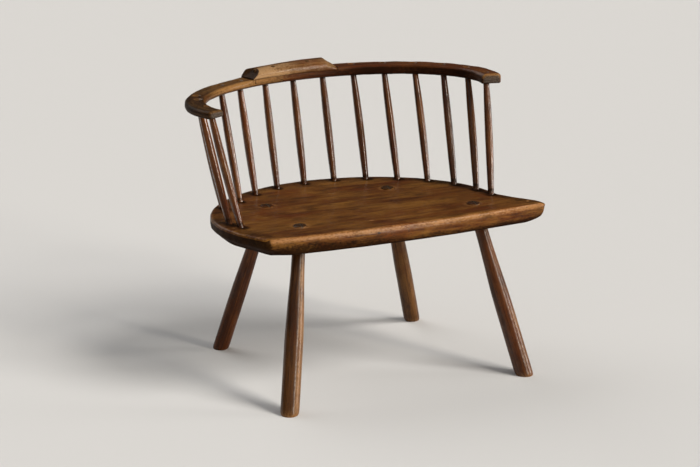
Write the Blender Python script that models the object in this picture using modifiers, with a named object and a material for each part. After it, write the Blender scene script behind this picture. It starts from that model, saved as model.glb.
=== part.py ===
"""A low-backed stick armchair, made of separate wooden pieces.

A half-round plank seat stands on four splayed legs, which pass through it and are wedged from above.
Fourteen shaved sticks rise from a ring of blind sockets in the seat and pass through a bowed arm.
The arm is two sawn pieces, half-lapped left of its middle, with a riser bedded and pegged on top.
Units are metres, +Z is up, the sitter faces -Y, and left is the side at -X, as seen from the front.
"""

from math import cos, hypot, pi, radians, sin

import bmesh
import bpy
from mathutils import Vector

# Fits
CLEARANCE = 0.0003

# Seat plank: its half width, back and height drive the rest of the chair
SEAT_HEIGHT = 0.360
SEAT_THICKNESS = 0.036
SEAT_HALF_WIDTH = 0.328
SEAT_BACK = 0.270
SEAT_FRONT = 0.622 * SEAT_BACK
SEAT_SHIFT = -0.043 * SEAT_HALF_WIDTH
SEAT_SKEW = 0.05
SEAT_LEFT_CORNER = (-0.884 * SEAT_HALF_WIDTH, -0.485 * SEAT_BACK)
SEAT_RIGHT_CORNER = (1.137 * SEAT_HALF_WIDTH, -0.467 * SEAT_BACK)
SEAT_LEFT_BULGE = 0.222 * SEAT_BACK
SEAT_RIGHT_FLARE = (0.034 * SEAT_HALF_WIDTH, 0.104 * SEAT_BACK)
SEAT_CORNER_ROUND = 0.009
SEAT_EDGE_ROUND = 0.006
SEAT_UNDERCUT = 0.016
SEAT_HORN_WIDTH = 0.058
SEAT_HORN_RISE = 0.020

# Legs: socket in shares of the seat's half width and back, splay per height, and radius at the foot
LEGS = {
    "leg_front_left": {"socket": (-0.573, -0.226), "splay": (-0.253, -0.397), "foot_radius": 0.0200},
    "leg_front_right": {"socket": (0.692, -0.241), "splay": (0.158, -0.381), "foot_radius": 0.0196},
    "leg_rear_left": {"socket": (-0.573, 0.415), "splay": (-0.158, 0.378), "foot_radius": 0.0175},
    "leg_rear_right": {"socket": (0.351, 0.481), "splay": (0.336, 0.308), "foot_radius": 0.0182},
}
LEG_TENON_RADIUS = 0.0140
LEG_TENON_NECK = 0.016
LEG_STRAIGHT = 0.4 * SEAT_HEIGHT
LEG_PROUD = 0.0015
WEDGE_DEPTH = 0.024
WEDGE_TOP = 0.0036
WEDGE_TIP = 0.0012
WEDGE_END_GAP = 0.0006

# Arm: height over the seat, mid-line of the bow, section, ends, and the half lap that joins its two pieces
ARM_ABOVE_SEAT = 0.227
ARM_UNDERSIDE = SEAT_HEIGHT + ARM_ABOVE_SEAT
ARM_HALF_WIDTH = 1.044 * SEAT_HALF_WIDTH
ARM_BACK = 0.772 * SEAT_BACK
ARM_CENTRE = 0.370 * SEAT_BACK
ARM_INSIDE = 0.0225
ARM_OUTSIDE = 0.0225
HAND_INSIDE = 0.0185
HAND_OUTSIDE = 0.0275
ARM_LEFT_THICKNESS = 0.0165
ARM_RIGHT_THICKNESS = 0.0225
ARM_EDGE_ROUND = 0.0070
ARM_SEAM_ROUND = 0.0015
ARM_UNDER_ROUND = 0.0035
ARM_LEFT_END = -107.0
ARM_RIGHT_END = 98.0
HAND_START = 62.0
HAND_FULL = 94.0
LAP_START = -25.7
LAP_END = -12.7

# Sticks: two oval rings, one inside the seat's edge and one along the arm.
# Holes that stray from their ring do so by shares of the seat's half width and back.
STICK_COUNT = 14
STICK_BASE_INSET = 0.031
STICK_BACK_INSET = 0.023
STICK_BASE_SKEW = 0.046
STICK_BASE_STEP = 14.1
STICK_TOP_INSET = 0.0095
STICK_TOP_BACK_INSET = 0.0035
STICK_TOP_STEP = 12.6
STICK_LEFT_SPREAD = 0.0045
STICK_RIGHT_SPREAD = 0.0035
STICK_BASE_STRAY = {1: (-0.015, -0.070), 2: (-0.073, -0.163), 3: (-0.049, 0.037), 14: (0.012, 0.044)}
STICK_TOP_STRAY = {3: (-0.064, -0.063), 4: (0.027, 0.030), 14: (0.015, 0.000)}
STICK_RADIUS = 0.0087
STICK_TENON_RADIUS = 0.0068
STICK_SOCKET_DEPTH = 0.026
STICK_NECK = 0.010
STICK_SUNK = 0.0012
STICK_FULLNESS = 0.7

# Riser on the back of the arm, and the pegs that hold it and the lap
# It lies on the left piece, and in a bed cut level with that in the right piece.
RISER_START = -27.4
RISER_END = 11.5
RISER_END_GAP = 0.1
RISER_SHOULDER = -24.4
RISER_PEAK = 7.0
RISER_BOTTOM = ARM_UNDERSIDE + ARM_LEFT_THICKNESS + CLEARANCE
RISER_LEFT_HEIGHT = 0.0180
RISER_PEAK_HEIGHT = 0.0225
RISER_TOE = 0.0055
RISER_FRONT_ROUND = 0.0150
RISER_BACK_ROUND = 0.0045
RISER_SET_BACK = 0.0010
PEG_ANGLES = (-23.0, -14.6, 0.0)
PEG_RADIUS = 0.0042
PEG_PROUD = 0.0008

# Facets
STICK_SIDES = 12
LEG_SIDES = 16
STICK_RINGS = 6
LEG_RINGS = 5
ARM_STEP = 5.0
BOW_STEP = 6.0
FLANK_STEPS = 6
FRONT_STEPS = 10
ROUND_STEPS = 3

UP = Vector((0, 0, 1))

for old in list(bpy.data.objects):
    bpy.data.objects.remove(old)

chair = bpy.data.collections.new("stick_armchair")
cutters = bpy.data.collections.new("cutters")
bpy.context.scene.collection.children.link(chair)
bpy.context.scene.collection.children.link(cutters)
root = bpy.data.objects.new("chair_origin", None)
chair.objects.link(root)


def wood(name, colour, roughness):
    """One plain wood finish."""
    material = bpy.data.materials.new(name)
    material.use_nodes = True
    shader = material.node_tree.nodes["Principled BSDF"]
    shader.inputs["Base Color"].default_value = (*colour, 1)
    shader.inputs["Roughness"].default_value = roughness
    shader.inputs["Metallic"].default_value = 0.0
    return material


SEAT_WOOD = wood("seat_wood", (0.190, 0.105, 0.045), 0.45)
LEG_WOOD = wood("leg_wood", (0.150, 0.078, 0.038), 0.50)
STICK_WOOD = wood("stick_wood", (0.135, 0.066, 0.034), 0.45)
ARM_WOOD = wood("arm_wood", (0.165, 0.090, 0.045), 0.50)
PEG_WOOD = wood("peg_wood", (0.120, 0.068, 0.036), 0.60)


def add(name, mesh, material, location=(0, 0, 0), direction=UP):
    """A piece of the chair, with its local Z turned to the direction."""
    piece = bpy.data.objects.new(name, mesh)
    mesh.materials.append(material)
    chair.objects.link(piece)
    place(piece, location, direction)
    return piece


def add_cutter(name, mesh, group, location=(0, 0, 0), direction=UP):
    """A shape that is only used to cut pieces, kept in the collection of what it cuts."""
    cutter = bpy.data.objects.new(name, mesh)
    cutter.hide_render = True
    cutter.display_type = "WIRE"
    group.objects.link(cutter)
    place(cutter, location, direction)
    return cutter


def place(item, location, direction):
    item.parent = root
    item.location = location
    item.rotation_mode = "QUATERNION"
    item.rotation_quaternion = UP.rotation_difference(Vector(direction))


def cutter_group(name):
    group = bpy.data.collections.new(name)
    cutters.children.link(group)
    return group


def cut(piece, group, operation="DIFFERENCE"):
    """Cut a piece with every shape in a collection."""
    modifier = piece.modifiers.new(group.name, "BOOLEAN")
    modifier.operand_type = "COLLECTION"
    modifier.collection = group
    modifier.operation = operation
    modifier.solver = "EXACT"


def turned(name, profile, sides, item_adder, *details, **places):
    """A turned piece: the profile lists radius and height from the top down."""
    mesh = bpy.data.meshes.new(name)
    points = [(0, 0, profile[0][1])]
    points += [(radius, 0, height) for radius, height in profile]
    points += [(0, 0, profile[-1][1])]
    mesh.from_pydata(points, [(i, i + 1) for i in range(len(points) - 1)], [])
    item = item_adder(name, mesh, *details, **places)
    screw = item.modifiers.new("turn", "SCREW")
    screw.axis = "Z"
    screw.steps = sides
    screw.render_steps = sides
    screw.use_merge_vertices = True
    screw.merge_threshold = 0.00001
    screw.use_smooth_shade = True
    return item


def box_mesh(name, low, high):
    """A box between two corners."""
    shape = bmesh.new()
    bmesh.ops.create_cube(shape, size=1.0)
    low = Vector(low)
    high = Vector(high)
    bmesh.ops.scale(shape, vec=high - low, verts=shape.verts)
    bmesh.ops.translate(shape, vec=(low + high) / 2, verts=shape.verts)
    mesh = bpy.data.meshes.new(name)
    shape.to_mesh(mesh)
    shape.free()
    return mesh


def loft_mesh(name, rings):
    """A closed skin over rings of points, with a flat face on each end."""
    shape = bmesh.new()
    loops = [[shape.verts.new(point) for point in ring] for ring in rings]
    count = len(loops[0])
    for near, far in zip(loops, loops[1:]):
        for i in range(count):
            j = (i + 1) % count
            shape.faces.new((near[i], near[j], far[j], far[i]))
    shape.faces.new(loops[0][::-1])
    shape.faces.new(loops[-1])
    bmesh.ops.recalc_face_normals(shape, faces=shape.faces)
    mesh = bpy.data.meshes.new(name)
    shape.to_mesh(mesh)
    shape.free()
    return mesh


def oval(half_width, back, degrees, skew=0.0):
    """A point on an oval bow. The angle is 0 straight back and positive towards the right."""
    x = half_width * sin(radians(degrees))
    return Vector((x, back * cos(radians(degrees)) - skew * x))


def bend(start, pull, end, steps):
    """Points of a curve from start to end that leans towards pull, without its last point."""
    points = []
    for i in range(steps):
        t = i / steps
        points.append(start * (1 - t) ** 2 + pull * (2 * t * (1 - t)) + end * t ** 2)
    return points


def ease(value, start, end):
    """0 before start, 1 after end, and smooth between."""
    t = min(max((value - start) / (end - start), 0.0), 1.0)
    return t * t * (3 - 2 * t)


def span(start, end, step):
    """Angles from start to end, at most a step apart, both ends included."""
    count = max(1, round(abs(end - start) / step))
    return [start + (end - start) * i / count for i in range(count + 1)]


def on_seat(shares):
    """A length in plan from shares of the seat's half width and back."""
    return Vector((shares[0] * SEAT_HALF_WIDTH, shares[1] * SEAT_BACK))


# Stick places: the middle of each stick at the top of the seat and at the underside of the arm

def stick_places():
    places = {}
    for number in range(1, STICK_COUNT + 1):
        turn = number - (STICK_COUNT + 1) / 2
        spread = STICK_LEFT_SPREAD if turn < 0 else STICK_RIGHT_SPREAD
        top_angle = STICK_TOP_STEP * turn * (1 + spread * turn ** 2)
        base = oval(SEAT_HALF_WIDTH - STICK_BASE_INSET, SEAT_BACK - STICK_BACK_INSET, STICK_BASE_STEP * turn,
                    STICK_BASE_SKEW)
        top = oval(ARM_HALF_WIDTH - STICK_TOP_INSET, ARM_BACK - STICK_TOP_BACK_INSET, top_angle)
        top += Vector((0, ARM_CENTRE))
        base += on_seat(STICK_BASE_STRAY.get(number, (0, 0)))
        top += on_seat(STICK_TOP_STRAY.get(number, (0, 0)))
        places[number] = (base.to_3d() + UP * SEAT_HEIGHT, top.to_3d() + UP * ARM_UNDERSIDE, top_angle)
    return places


STICKS = stick_places()


# Arm bow: points and heights along its length

def bow_point(degrees):
    """Middle of the arm in plan, and its outward direction there."""
    angle = radians(degrees)
    point = oval(ARM_HALF_WIDTH, ARM_BACK, degrees) + Vector((0, ARM_CENTRE))
    outward = Vector((ARM_BACK * sin(angle), ARM_HALF_WIDTH * cos(angle))).normalized()
    return point, outward


def arm_reach(degrees):
    """How far the arm reaches inwards and outwards from its mid-line."""
    hand = ease(abs(degrees), HAND_START, HAND_FULL)
    inside = ARM_INSIDE + (HAND_INSIDE - ARM_INSIDE) * hand
    outside = ARM_OUTSIDE + (HAND_OUTSIDE - ARM_OUTSIDE) * hand
    return inside, outside


def rounded(radius, corner_across, corner_up, across, up):
    """Points round a corner of a section; across and up point away from the middle."""
    points = []
    for i in range(ROUND_STEPS + 1):
        angle = i * pi / 2 / ROUND_STEPS
        shift = Vector((across * radius * (sin(angle) - 1), up * radius * (cos(angle) - 1)))
        points.append(Vector((corner_across, corner_up)) + shift)
    return points


def bow_ring(degrees, inside, outside, bottom, top, rounds):
    """A rounded section across the bow; rounds are the top inner, top outer and lower corner radii."""
    point, outward = bow_point(degrees)
    inner_round, outer_round, under_round = rounds
    section = rounded(outer_round, outside, top, 1, 1)
    section += rounded(under_round, outside, bottom, 1, -1)[::-1]
    section += rounded(under_round, -inside, bottom, -1, -1)
    section += rounded(inner_round, -inside, top, -1, 1)[::-1]
    return [(point + outward * across).to_3d() + UP * height for across, height in section]


def arm_ring(degrees, thickness):
    inside, outside = arm_reach(degrees)
    covered = ease(degrees, RISER_START - ARM_STEP, RISER_START) if degrees <= RISER_END else 0.0
    top_round = ARM_EDGE_ROUND + (ARM_SEAM_ROUND - ARM_EDGE_ROUND) * covered
    rounds = (top_round, top_round, ARM_UNDER_ROUND)
    return bow_ring(degrees, inside, outside, ARM_UNDERSIDE, ARM_UNDERSIDE + thickness, rounds)


def arm_rings(start, end, thickness):
    return [arm_ring(degrees, thickness) for degrees in span(start, end, ARM_STEP)]


# Seat: the back is an oval bow, the flanks and the front are shallow curves

def seat_outline():
    shift = Vector((SEAT_SHIFT, 0))
    turns = span(90, -90, BOW_STEP)
    bow = [oval(SEAT_HALF_WIDTH, SEAT_BACK, degrees, SEAT_SKEW) + shift for degrees in turns]
    left = Vector(SEAT_LEFT_CORNER)
    right = Vector(SEAT_RIGHT_CORNER)
    front = Vector(((left.x + right.x) / 2, -SEAT_FRONT))
    left_pull = bow[-1] - Vector((0, SEAT_LEFT_BULGE))
    right_pull = bow[0] + Vector((SEAT_RIGHT_FLARE[0], -SEAT_RIGHT_FLARE[1]))
    left_turn = [left + (pull - left).normalized() * SEAT_CORNER_ROUND for pull in (left_pull, front)]
    right_turn = [right + (pull - right).normalized() * SEAT_CORNER_ROUND for pull in (front, right_pull)]
    outline = bow[:-1]
    outline += bend(bow[-1], left_pull, left_turn[0], FLANK_STEPS)
    outline += bend(left_turn[0], left, left_turn[1], ROUND_STEPS)
    outline += bend(left_turn[1], front, right_turn[0], FRONT_STEPS)
    outline += bend(right_turn[0], right, right_turn[1], ROUND_STEPS)
    outline += bend(right_turn[1], right_pull, bow[0], FLANK_STEPS)
    return outline


def seat_ring(height, inset, front_inset):
    """The outline at one height, drawn in towards the middle of the seat; the front can differ."""
    middle = Vector((SEAT_SHIFT, 0))
    ring = []
    for point in seat_outline():
        back = ease(point.y, SEAT_LEFT_CORNER[1], SEAT_LEFT_CORNER[1] + SEAT_UNDERCUT)
        inwards = (middle - point).normalized()
        ring.append((point + inwards * (front_inset + (inset - front_inset) * back)).to_3d() + UP * height)
    return ring


def make_seat():
    bottom = SEAT_HEIGHT - SEAT_THICKNESS
    rings = [seat_ring(bottom, SEAT_UNDERCUT, 0.0), seat_ring(bottom + SEAT_UNDERCUT, 0.0, 0.0)]
    for i in range(ROUND_STEPS + 1):
        angle = i * pi / 2 / ROUND_STEPS
        inset = SEAT_EDGE_ROUND * (1 - cos(angle))
        rings.append(seat_ring(SEAT_HEIGHT - SEAT_EDGE_ROUND * (1 - sin(angle)), inset, inset))
    return add("seat", loft_mesh("seat", rings), SEAT_WOOD)


def cut_horn(group):
    """The right front corner is hewn thin from below."""
    tip = SEAT_RIGHT_CORNER[0]
    slope = SEAT_HORN_RISE / SEAT_HORN_WIDTH
    length = hypot(SEAT_HORN_RISE, SEAT_HORN_WIDTH)
    mesh = box_mesh("horn_cut", (-length, -SEAT_FRONT, -SEAT_THICKNESS), (length, SEAT_FRONT, 0))
    horn = add_cutter("horn_cut", mesh, group)
    horn.location = (tip, SEAT_RIGHT_CORNER[1], SEAT_HEIGHT - SEAT_THICKNESS + SEAT_HORN_RISE)
    horn.rotation_quaternion = Vector((1, 0, 0)).rotation_difference(Vector((1, 0, slope)))


# Legs and their wedges

def wedge_mesh(name, width, top, tip, depth, above):
    """A wedge with its tip below the seat's top and its head above; it widens at a steady rate."""
    rate = (top - tip) / depth
    head = top + rate * above
    shape = bmesh.new()
    bmesh.ops.create_cube(shape, size=1.0)
    for vert in shape.verts:
        raised = vert.co.z > 0
        vert.co.x *= head if raised else tip
        vert.co.y *= width
        vert.co.z = above if raised else -depth
    mesh = bpy.data.meshes.new(name)
    shape.to_mesh(mesh)
    shape.free()
    return mesh


def leg_profile(foot_radius, length, slope):
    """Radius and height down a leg from beyond its tenon to beyond its foot."""
    over = foot_radius * slope + LEG_TENON_NECK
    shoulder = length - SEAT_THICKNESS * hypot(1, slope) - LEG_TENON_NECK
    profile = [(LEG_TENON_RADIUS, length + over), (LEG_TENON_RADIUS, shoulder)]
    for i in range(LEG_RINGS - 1, 0, -1):
        height = LEG_STRAIGHT + (shoulder - LEG_STRAIGHT) * i / LEG_RINGS
        grown = ease(shoulder - height, 0, shoulder - LEG_STRAIGHT)
        profile.append((LEG_TENON_RADIUS + (foot_radius - LEG_TENON_RADIUS) * grown, height))
    profile += [(foot_radius, LEG_STRAIGHT), (foot_radius, -over)]
    return profile


def make_legs(seat_cuts):
    ends = cutter_group("leg_length")
    reach = 2 * SEAT_HALF_WIDTH
    slab = box_mesh("leg_length", (-reach, -reach, 0), (reach, reach, SEAT_HEIGHT + LEG_PROUD))
    add_cutter("leg_length", slab, ends)
    for name, sizes in LEGS.items():
        socket = on_seat(sizes["socket"]).to_3d() + UP * SEAT_HEIGHT
        foot = socket + Vector((*sizes["splay"], -1)) * SEAT_HEIGHT
        axis = socket - foot
        slope = hypot(axis.x, axis.y) / axis.z
        profile = leg_profile(sizes["foot_radius"], axis.length, slope)
        leg = turned(name, profile, LEG_SIDES, add, LEG_WOOD, location=foot, direction=axis)
        cut(leg, ends, "INTERSECT")
        hole = [(LEG_TENON_RADIUS + CLEARANCE, profile[0][1]), (LEG_TENON_RADIUS + CLEARANCE, profile[1][1])]
        turned(name + "_mortise", hole, LEG_SIDES, add_cutter, seat_cuts, location=foot, direction=axis)
        above = LEG_PROUD + LEG_TENON_RADIUS * slope + LEG_TENON_NECK
        width = 2 * (LEG_TENON_RADIUS - WEDGE_END_GAP)
        wedge_name = name.replace("leg", "wedge")
        wedge = add(wedge_name, wedge_mesh(wedge_name, width, WEDGE_TOP, WEDGE_TIP, WEDGE_DEPTH, above),
                    PEG_WOOD, socket, axis)
        cut(wedge, ends, "INTERSECT")
        kerf_name = name + "_kerf"
        kerf_cuts = cutter_group(kerf_name)
        kerf = wedge_mesh(kerf_name, 3 * LEG_TENON_RADIUS, WEDGE_TOP + 2 * CLEARANCE,
                          WEDGE_TIP + 2 * CLEARANCE, WEDGE_DEPTH + CLEARANCE, above)
        add_cutter(kerf_name, kerf, kerf_cuts, socket, axis)
        cut(leg, kerf_cuts)


# Sticks

def stick_profile(length, beyond):
    """Radius and height down a stick; height 0 is the top of the seat."""
    profile = [(STICK_TENON_RADIUS, length + beyond)]
    for i in range(STICK_RINGS, -1, -1):
        share = i / STICK_RINGS
        height = STICK_NECK + (length - 2 * STICK_NECK) * share
        fullness = sin(pi * share) ** STICK_FULLNESS if 0 < share < 1 else 0.0
        profile.append((STICK_TENON_RADIUS + (STICK_RADIUS - STICK_TENON_RADIUS) * fullness, height))
    profile.append((STICK_TENON_RADIUS, -STICK_SOCKET_DEPTH))
    return profile


def make_sticks(seat_cuts, arm_cuts):
    reach = 2 * ARM_HALF_WIDTH
    tops = {}
    for level, thickness in (("low", ARM_LEFT_THICKNESS), ("high", ARM_RIGHT_THICKNESS)):
        tops[level] = cutter_group("stick_top_" + level)
        start = ARM_UNDERSIDE + thickness - STICK_SUNK
        mesh = box_mesh("stick_top_" + level, (-reach, -reach, start), (reach, reach, start + SEAT_HEIGHT))
        add_cutter("stick_top_" + level, mesh, tops[level])
    for number, (base, top, top_angle) in STICKS.items():
        name = f"stick_{number:02d}"
        axis = top - base
        lean = axis.length / axis.z
        beyond = (ARM_RIGHT_THICKNESS + STICK_NECK) * lean
        stick = turned(name, stick_profile(axis.length, beyond), STICK_SIDES, add, STICK_WOOD,
                       location=base, direction=axis)
        cut(stick, tops["low" if top_angle < RISER_END else "high"])
        radius = STICK_TENON_RADIUS + CLEARANCE
        socket = [(radius, STICK_NECK), (radius, -STICK_SOCKET_DEPTH - CLEARANCE)]
        turned(name + "_socket", socket, STICK_SIDES, add_cutter, seat_cuts, location=base, direction=axis)
        hole = [(radius, axis.length + beyond), (radius, axis.length - STICK_NECK)]
        turned(name + "_hole", hole, STICK_SIDES, add_cutter, arm_cuts, location=base, direction=axis)


# Arm pieces, riser and pegs

def lap_box(name, group, low_along, high_along, low, high):
    """A box across the arm in the lap's own frame, where along runs to the right from the lap's middle."""
    middle, outward = bow_point((LAP_START + LAP_END) / 2)
    half = ARM_INSIDE + ARM_OUTSIDE
    box = add_cutter(name, box_mesh(name, (low_along, -half, low), (high_along, half, high)), group)
    box.location = middle.to_3d()
    box.rotation_quaternion = Vector((0, 1, 0)).rotation_difference(outward.to_3d())


def lap_half_length():
    start, _ = bow_point(LAP_START)
    end, _ = bow_point(LAP_END)
    return (end - start).length / 2


def make_arms(arm_cuts):
    half = lap_half_length()
    far = 3 * half
    middle = ARM_UNDERSIDE + ARM_LEFT_THICKNESS / 2
    above = ARM_UNDERSIDE + 2 * ARM_RIGHT_THICKNESS
    below = ARM_UNDERSIDE - ARM_RIGHT_THICKNESS
    gap = CLEARANCE / 2
    past = ARM_STEP
    left_rings = arm_rings(ARM_LEFT_END, LAP_END + past, ARM_LEFT_THICKNESS)
    left = add("arm_left", loft_mesh("arm_left", left_rings), ARM_WOOD)
    left_lap = cutter_group("arm_left_lap")
    lap_box("arm_left_cheek", left_lap, -half - gap, far, middle - gap, above)
    lap_box("arm_left_end", left_lap, half - gap, far, below, above)
    cut(left, left_lap)
    cut(left, arm_cuts)
    right_rings = arm_rings(LAP_START - past, RISER_END, ARM_LEFT_THICKNESS)
    right_rings += arm_rings(RISER_END + RISER_END_GAP, ARM_RIGHT_END, ARM_RIGHT_THICKNESS)
    right = add("arm_right", loft_mesh("arm_right", right_rings), ARM_WOOD)
    right_lap = cutter_group("arm_right_lap")
    lap_box("arm_right_cheek", right_lap, -far, half + gap, below, middle + gap)
    lap_box("arm_right_end", right_lap, -far, -half + gap, below, above)
    cut(right, right_lap)
    cut(right, arm_cuts)


def riser_height(degrees):
    """Height of the riser over its bed: a bevelled left end, a rising back and a broken right end."""
    rise = ease(degrees, RISER_SHOULDER, RISER_PEAK)
    crest = RISER_LEFT_HEIGHT + (RISER_PEAK_HEIGHT - RISER_LEFT_HEIGHT) * rise
    left = min((degrees - RISER_START) / (RISER_SHOULDER - RISER_START), 1.0)
    right = min((RISER_END - degrees) / (RISER_END - RISER_PEAK), 1.0)
    return RISER_TOE + (crest - RISER_TOE) * min(left, right)


def riser_ring(degrees):
    inside, outside = arm_reach(degrees)
    height = riser_height(degrees)
    share = height / RISER_PEAK_HEIGHT
    rounds = (RISER_FRONT_ROUND * share, RISER_BACK_ROUND * share, ARM_SEAM_ROUND * share)
    top = RISER_BOTTOM + height
    return bow_ring(degrees, inside - RISER_SET_BACK, outside - RISER_SET_BACK, RISER_BOTTOM, top, rounds)


def make_riser(peg_cuts):
    angles = span(RISER_START, RISER_SHOULDER, ARM_STEP)
    angles += span(RISER_SHOULDER, RISER_PEAK, ARM_STEP)[1:]
    angles += span(RISER_PEAK, RISER_END - RISER_END_GAP, ARM_STEP)[1:]
    riser = add("arm_riser", loft_mesh("arm_riser", [riser_ring(degrees) for degrees in angles]), ARM_WOOD)
    cut(riser, peg_cuts)


def make_pegs(peg_cuts):
    bottom = ARM_UNDERSIDE - PEG_PROUD
    for number, degrees in enumerate(PEG_ANGLES, start=1):
        point, _ = bow_point(degrees)
        top = RISER_BOTTOM + riser_height(degrees) + PEG_PROUD
        name = f"riser_peg_{number}"
        turned(name, [(PEG_RADIUS, top), (PEG_RADIUS, bottom)], STICK_SIDES, add, PEG_WOOD,
               location=point.to_3d())
        hole = [(PEG_RADIUS + CLEARANCE, top + PEG_RADIUS), (PEG_RADIUS + CLEARANCE, bottom - PEG_RADIUS)]
        turned(name + "_hole", hole, STICK_SIDES, add_cutter, peg_cuts, location=point.to_3d())


def stand_over_origin():
    """Move the whole chair so that the middle of its box stands over the origin, on the floor."""
    bpy.context.view_layer.update()
    graph = bpy.context.evaluated_depsgraph_get()
    corners = []
    for piece in chair.objects:
        if piece.type == "MESH":
            shaped = piece.evaluated_get(graph)
            corners += [shaped.matrix_world @ vert.co for vert in shaped.data.vertices]
    for axis in (0, 1):
        values = [corner[axis] for corner in corners]
        root.location[axis] -= (min(values) + max(values)) / 2


seat = make_seat()
seat_cuts = cutter_group("seat_cuts")
arm_cuts = cutter_group("arm_holes")
peg_cuts = cutter_group("peg_holes")
cut_horn(seat_cuts)
make_legs(seat_cuts)
make_sticks(seat_cuts, arm_cuts)
make_arms(arm_cuts)
make_riser(peg_cuts)
make_pegs(peg_cuts)
cut(bpy.data.objects["arm_left"], peg_cuts)
cut(bpy.data.objects["arm_right"], peg_cuts)
cut(seat, seat_cuts)
stand_over_origin()
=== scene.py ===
"""The looks of a low-backed stick armchair: shaved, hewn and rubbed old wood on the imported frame.

Every piece of the chair is a mesh of its own that stands for its CAD node. Left is the side at -X.
Lengths are in metres, and places along the arm are degrees from straight back, to the right.
"""

from math import cos, pi, radians, sin

import bmesh
import bpy
import numpy as np
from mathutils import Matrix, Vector, noise


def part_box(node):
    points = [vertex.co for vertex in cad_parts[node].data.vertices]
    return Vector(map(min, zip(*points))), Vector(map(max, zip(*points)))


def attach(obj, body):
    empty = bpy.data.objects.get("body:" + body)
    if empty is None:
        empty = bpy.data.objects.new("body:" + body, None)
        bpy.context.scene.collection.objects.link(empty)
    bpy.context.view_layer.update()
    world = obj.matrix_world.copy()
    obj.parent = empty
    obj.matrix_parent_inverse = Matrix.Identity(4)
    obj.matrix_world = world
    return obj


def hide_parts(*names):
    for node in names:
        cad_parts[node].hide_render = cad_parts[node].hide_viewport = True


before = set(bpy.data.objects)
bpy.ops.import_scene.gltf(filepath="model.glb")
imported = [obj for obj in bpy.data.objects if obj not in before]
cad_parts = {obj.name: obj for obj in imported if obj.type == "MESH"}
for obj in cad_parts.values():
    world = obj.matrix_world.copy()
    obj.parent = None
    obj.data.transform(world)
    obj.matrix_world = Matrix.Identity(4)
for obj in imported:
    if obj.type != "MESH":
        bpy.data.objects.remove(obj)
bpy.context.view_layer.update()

# Seat
# One thick half-round plank with its grain from side to side, waxed and polished by use.
# Its front edge is rubbed round, its sides are hewn thin from below, and its right corner is drawn out.

SEAT_TOP = 0.360
SEAT_BOTTOM = 0.324
SEAT_THICKNESS = SEAT_TOP - SEAT_BOTTOM
SEAT_MIDDLE = np.array((-0.0002, -0.0527))
SEAT_BOW = (0.328, 0.270)
SEAT_BOW_SHIFT = -0.014
SEAT_BOW_SKEW = 0.05
SEAT_LEFT_CORNER = np.array((-0.290, -0.131))
SEAT_RIGHT_CORNER = np.array((0.380, -0.1255))
SEAT_FRONT_PULL = np.array((0.042, -0.168))
SEAT_LEFT_PULL = np.array((-0.342, -0.043))
SEAT_RIGHT_PULL = np.array((0.325, -0.044))
LEFT_CORNER_ROUND = 0.010
LEFT_CORNER_CHOP = (-0.290, -0.235)
HORN_ROUND = 0.018
HORN_SPAN = (0.25, 0.34)
HORN_START = 0.312
HORN_LENGTH = 0.060
HORN_RISE = 0.011
NOSE_START = 0.356
NOSE_LENGTH = 0.0185
NOSE_DROP = 0.006
FRONT_FACING = (0.35, 0.92)
FRONT_SWELL = 0.085
FRONT_SWELL_SPAN = (0.06, 0.13)

# Sections of the edge, from the underside up: how far each point lies in from the outline, and its height.
SEAT_SIDE = ((0.019, 0), (0.0155, 0.0010), (0.0010, 0.0150), (0, 0.0175), (0, 0.0305), (0.0008, 0.0333),
             (0.0027, 0.0352), (0.0055, 0.0360))
SEAT_FRONT = ((0.012, 0), (0.0060, 0.0003), (0.0030, 0.0013), (0.0011, 0.0032), (0.0003, 0.0060),
              (0, 0.0100), (0, 0.0170), (0.0004, 0.0220), (0.0014, 0.0270), (0.0032, 0.0315),
              (0.0060, 0.0345), (0.0100, 0.0358), (0.0165, 0.0360))
SEAT_AROUND = 480
SEAT_SECTION_STEPS = 26
UNDERSIDE_RINGS = 16
TOP_RINGS = 44


def ease(value, start, end):
    """0 before start, 1 after end, and smooth between."""
    t = np.clip((np.asarray(value, float) - start) / (end - start), 0, 1)
    return t * t * (3 - 2 * t)


def bend(start, pull, end, steps=40):
    """Points of a curve from start to end that leans towards pull, without its last point."""
    t = np.linspace(0, 1, steps, endpoint=False)[:, None]
    return start * (1 - t) ** 2 + pull * (2 * t * (1 - t)) + end * t ** 2


def run_along(points):
    """Distance of each point of a line from its first one."""
    return np.concatenate([[0], np.cumsum(np.linalg.norm(np.diff(points, axis=0), axis=1))])


def even_line(points, count, endpoint=True):
    """A flat line with its points spaced evenly."""
    points = np.asarray(points)
    run = run_along(points)
    at = np.linspace(0, run[-1], count, endpoint=endpoint)
    return np.stack([np.interp(at, run, points[:, 0]), np.interp(at, run, points[:, 1])], axis=1)


def even_outline(points, count):
    """A closed flat outline with its points spaced evenly."""
    return even_line(np.vstack([points, points[:1]]), count, endpoint=False)


def lumps(points, size, shift=0.0):
    """A smooth random value from about -1 to 1 at each point, in lumps of the given size."""
    flat = np.reshape(points, (-1, 3)) / size + shift
    return np.array([noise.noise(Vector(p)) for p in flat]).reshape(np.shape(points)[:-1])


def tool_marks(points, marks):
    """How far hand work left each point proud, from marks of a depth, a size and a shift."""
    return sum(depth * lumps(points, size, shift) for depth, size, shift in marks)


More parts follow.
